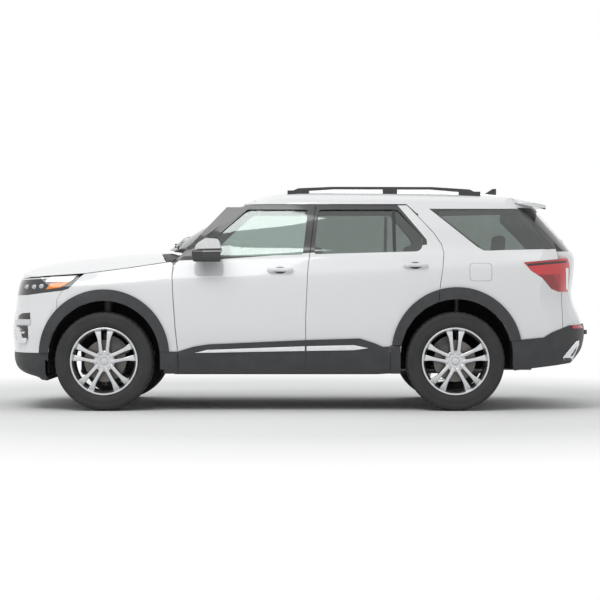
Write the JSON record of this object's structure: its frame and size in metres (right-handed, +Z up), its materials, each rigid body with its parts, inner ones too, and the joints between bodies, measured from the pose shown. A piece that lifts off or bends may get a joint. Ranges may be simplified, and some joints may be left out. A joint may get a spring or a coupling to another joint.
{
  "type": "sport utility vehicle",
  "caption": "White road vehicle with a high wagon body, four hinged doors, hood, tailgate, roof rails, three seat rows, steered front wheels and free-turning wheels.",
  "frame": {"origin": "middle of the overall box on the ground", "axes": "+X to the rear along the longest side, +Y to the vehicle's right side, +Z up, the shortest side"},
  "size_m": [4.8662, 2.234, 1.8359],
  "materials": {
    "paint": "white gloss paint",
    "cladding": "grained dark grey plastic",
    "gloss_black": "gloss black plastic",
    "underbody": "dark underbody paint",
    "liner_plastic": "dark felted plastic",
    "interior_plastic": "soft grained dark plastic",
    "grille_metal": "satin bright metal",
    "lamp_clear": "clear lamp lens",
    "lamp_red": "red lamp lens",
    "glass_clear": "lightly tinted glass",
    "glass_dark": "dark tinted glass",
    "exhaust_steel": "stainless steel",
    "cast_metal": "cast metal",
    "seat_cloth": "grey cloth",
    "tyre": "black rubber",
    "wheel_alloy": "painted alloy"
  },
  "bodies": {
    "root": {"body_sides": "paint", "roof_panel": "paint", "floor_pan": "underbody", "bulkhead": "underbody", "dashboard": "interior_plastic", "front_fenders": "paint", "front_bumper": "paint", "front_bumper_lower": "cladding", "bumper_vents": "cladding", "grille": "grille_metal", "headlamps": "lamp_clear", "windshield": "glass_clear", "quarter_glass": "glass_dark", "tail_lamps": "lamp_red", "rear_bumper": "paint", "rear_bumper_lower": "cladding", "arch_cladding": "cladding", "roof_rails": "gloss_black", "exhaust": "exhaust_steel", "engine_block": "cast_metal", "front_axle_carrier": "cast_metal", "rear_axle_carrier": "cast_metal", "front_seats": "seat_cloth", "second_row_seats": "seat_cloth", "third_row_seat": "seat_cloth", "cowl": "cladding", "wheel_liners": "liner_plastic"},
    "hood": {"hood": "paint"},
    "tailgate": {"tailgate": "paint", "tailgate_glass": "glass_dark"},
    "steering_wheel": {"steering_wheel": "interior_plastic"},
    "knuckle_left": {"knuckle_left": "cast_metal"},
    "knuckle_right": {"knuckle_right": "cast_metal"},
    "front_door_left": {"front_door_left": "paint", "front_door_glass_left": "glass_clear", "front_door_cladding_left": "cladding", "mirror_left": "paint"},
    "wheel_front_left": {"tyre_front_left": "tyre", "rim_front_left": "wheel_alloy"},
    "front_door_right": {"front_door_right": "paint", "front_door_glass_right": "glass_clear", "front_door_cladding_right": "cladding", "mirror_right": "paint"},
    "wheel_front_right": {"tyre_front_right": "tyre", "rim_front_right": "wheel_alloy"},
    "rear_door_left": {"rear_door_left": "paint", "rear_door_glass_left": "glass_dark", "rear_door_cladding_left": "cladding"},
    "wheel_rear_left": {"tyre_rear_left": "tyre", "rim_rear_left": "wheel_alloy"},
    "rear_door_right": {"rear_door_right": "paint", "rear_door_glass_right": "glass_dark", "rear_door_cladding_right": "cladding"},
    "wheel_rear_right": {"tyre_rear_right": "tyre", "rim_rear_right": "wheel_alloy"}
  },
  "joints": [
    {"name": "hood_hinge", "type": "hinge", "parent": "root", "child": "hood", "pos_m": [-1.04, 0, 1.25], "axis": [0, 1, 0], "range_deg": [0, 48]},
    {"name": "tailgate_hinge", "type": "hinge", "parent": "root", "child": "tailgate", "pos_m": [1.722, 0, 1.785], "axis": [0, -1, 0], "range_deg": [0, 84]},
    {"name": "front_door_left_hinge", "type": "hinge", "parent": "root", "child": "front_door_left", "pos_m": [-1.0395, -0.982, 0.8], "axis": [0, 0, -1], "range_deg": [0, 66]},
    {"name": "rear_door_left_hinge", "type": "hinge", "parent": "root", "child": "rear_door_left", "pos_m": [0.0435, -0.982, 0.8], "axis": [0, 0, -1], "range_deg": [0, 68]},
    {"name": "steer_left", "type": "hinge", "parent": "root", "child": "knuckle_left", "pos_m": [-1.595, -0.788, 0.402], "axis": [0, 0, 1], "range_deg": [-34, 34]},
    {"name": "wheel_front_left_spin", "type": "hinge", "parent": "knuckle_left", "child": "wheel_front_left", "pos_m": [-1.595, -0.85, 0.402], "axis": [0, 1, 0], "continuous": true},
    {"name": "wheel_rear_left_spin", "type": "hinge", "parent": "root", "child": "wheel_rear_left", "pos_m": [1.257, -0.85, 0.402], "axis": [0, 1, 0], "continuous": true},
    {"name": "front_door_right_hinge", "type": "hinge", "parent": "root", "child": "front_door_right", "pos_m": [-1.0395, 0.982, 0.8], "axis": [0, 0, 1], "range_deg": [0, 66]},
    {"name": "rear_door_right_hinge", "type": "hinge", "parent": "root", "child": "rear_door_right", "pos_m": [0.0435, 0.982, 0.8], "axis": [0, 0, 1], "range_deg": [0, 68]},
    {"name": "steer_right", "type": "hinge", "parent": "root", "child": "knuckle_right", "pos_m": [-1.595, 0.788, 0.402], "axis": [0, 0, 1], "range_deg": [-34, 34]},
    {"name": "wheel_front_right_spin", "type": "hinge", "parent": "knuckle_right", "child": "wheel_front_right", "pos_m": [-1.595, 0.85, 0.402], "axis": [0, 1, 0], "continuous": true},
    {"name": "wheel_rear_right_spin", "type": "hinge", "parent": "root", "child": "wheel_rear_right", "pos_m": [1.257, 0.85, 0.402], "axis": [0, 1, 0], "continuous": true},
    {"name": "steering_wheel_turn", "type": "hinge", "parent": "root", "child": "steering_wheel", "pos_m": [-0.585, -0.37, 1.09], "axis": [0.9136, 0, 0.4067], "range_deg": [-510, 510]}
  ],
  "couplings": [
    {"joint": "steer_right", "follows": "steer_left", "ratio": 1},
    {"joint": "steering_wheel_turn", "follows": "steer_left", "ratio": 15}
  ]
}
